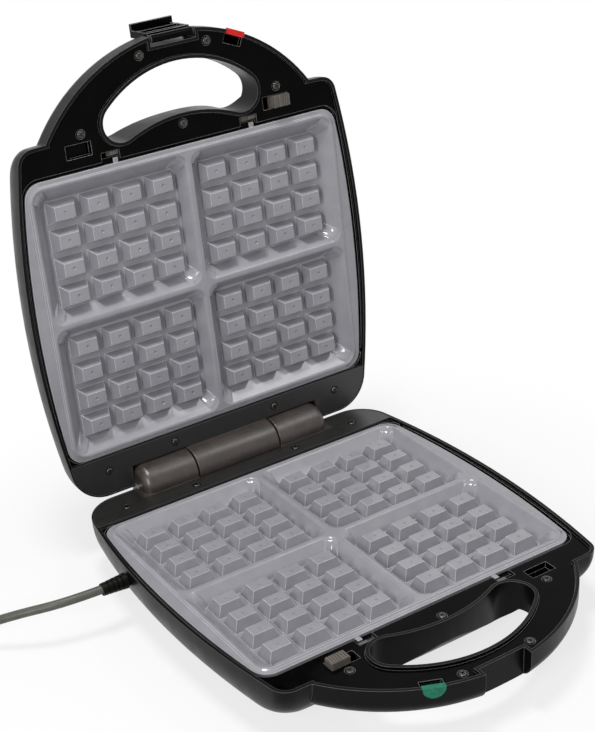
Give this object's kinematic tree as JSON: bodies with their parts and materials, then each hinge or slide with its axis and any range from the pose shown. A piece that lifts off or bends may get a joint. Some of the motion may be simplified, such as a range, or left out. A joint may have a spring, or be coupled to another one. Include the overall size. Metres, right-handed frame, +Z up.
{
  "type": "multi snack maker",
  "caption": "Countertop waffle maker, open: hinged lid, removable waffle plates, handles with latch, release sliders, lamps and mains cord.",
  "frame": {"origin": "on the standing surface, under the middle of the appliance's box without its cord", "axes": "+Z up, +Y from the handle towards the hinge, +X to the right seen from the handle"},
  "size_m": [0.5487, 0.4192, 0.3974],
  "materials": {
    "black_gloss": "gloss",
    "black_satin": "satin",
    "black_matte": "matte",
    "coated_plate": "satin",
    "bright_steel": "satin",
    "zinc_screw": "satin",
    "tinned_brass": "satin",
    "foot_rubber": "matte",
    "cord_rubber": "matte",
    "lens_green": "gloss",
    "lens_red": "gloss",
    "white_ceramic": "matte"
  },
  "bodies": {
    "base": {"base_shell": "black_satin", "base_frame": "black_gloss", "base_hinge_strip": "black_matte", "hinge_pin": "bright_steel", "base_frame_screws": "zinc_screw", "base_strip_screws": "zinc_screw", "ready_lamp_lens": "lens_green", "base_heater": "bright_steel", "base_reflector": "bright_steel", "thermostat": "white_ceramic", "thermal_fuse": "bright_steel", "terminal_block": "white_ceramic", "feet": "foot_rubber", "base_wiring": "white_ceramic", "cord_boot": "cord_rubber", "power_cord": "cord_rubber", "cord_coil": "cord_rubber", "cord_tail": "cord_rubber", "plug_body": "cord_rubber", "plug_pins": "tinned_brass", "cord_tie": "foot_rubber"},
    "lid": {"lid_shell": "black_satin", "lid_frame": "black_gloss", "lid_hinge_strip": "black_matte", "lid_frame_screws": "zinc_screw", "lid_strip_screws": "zinc_screw", "heat_lamp_lens": "lens_red", "latch_pin": "bright_steel", "lid_heater": "bright_steel", "lid_reflector": "bright_steel"},
    "latch": {"handle_latch": "black_gloss"},
    "base_waffle_plate": {"base_plate": "coated_plate"},
    "lid_waffle_plate": {"lid_plate": "coated_plate"},
    "base_release": {"base_release_slider": "black_gloss"},
    "lid_release": {"lid_release_slider": "black_gloss"}
  },
  "joints": [
    {"name": "lid_hinge", "type": "hinge", "parent": "base", "child": "lid", "pos_m": [0, 0.13651, 0.05], "axis": [-1, 0, 0], "range_deg": [-96.3, 0]},
    {"name": "latch_swing", "type": "hinge", "parent": "lid", "child": "latch", "pos_m": [0, 0.17782, 0.39133], "axis": [1, 0, 0], "range_deg": [0, 180]},
    {"name": "base_plate_lift", "type": "slide", "parent": "base", "child": "base_waffle_plate", "axis": [0, 0, 1], "range_m": [0, 0.03]},
    {"name": "lid_plate_lift", "type": "slide", "parent": "lid", "child": "lid_waffle_plate", "axis": [0, -0.994, 0.1097], "range_m": [0, 0.03]},
    {"name": "base_release_slide", "type": "slide", "parent": "base", "child": "base_release", "axis": [1, 0, 0], "range_m": [0, 0.007], "stiffness_N_per_m": 300},
    {"name": "lid_release_slide", "type": "slide", "parent": "lid", "child": "lid_release", "axis": [-1, 0, 0], "range_m": [0, 0.007], "stiffness_N_per_m": 300}
  ]
}
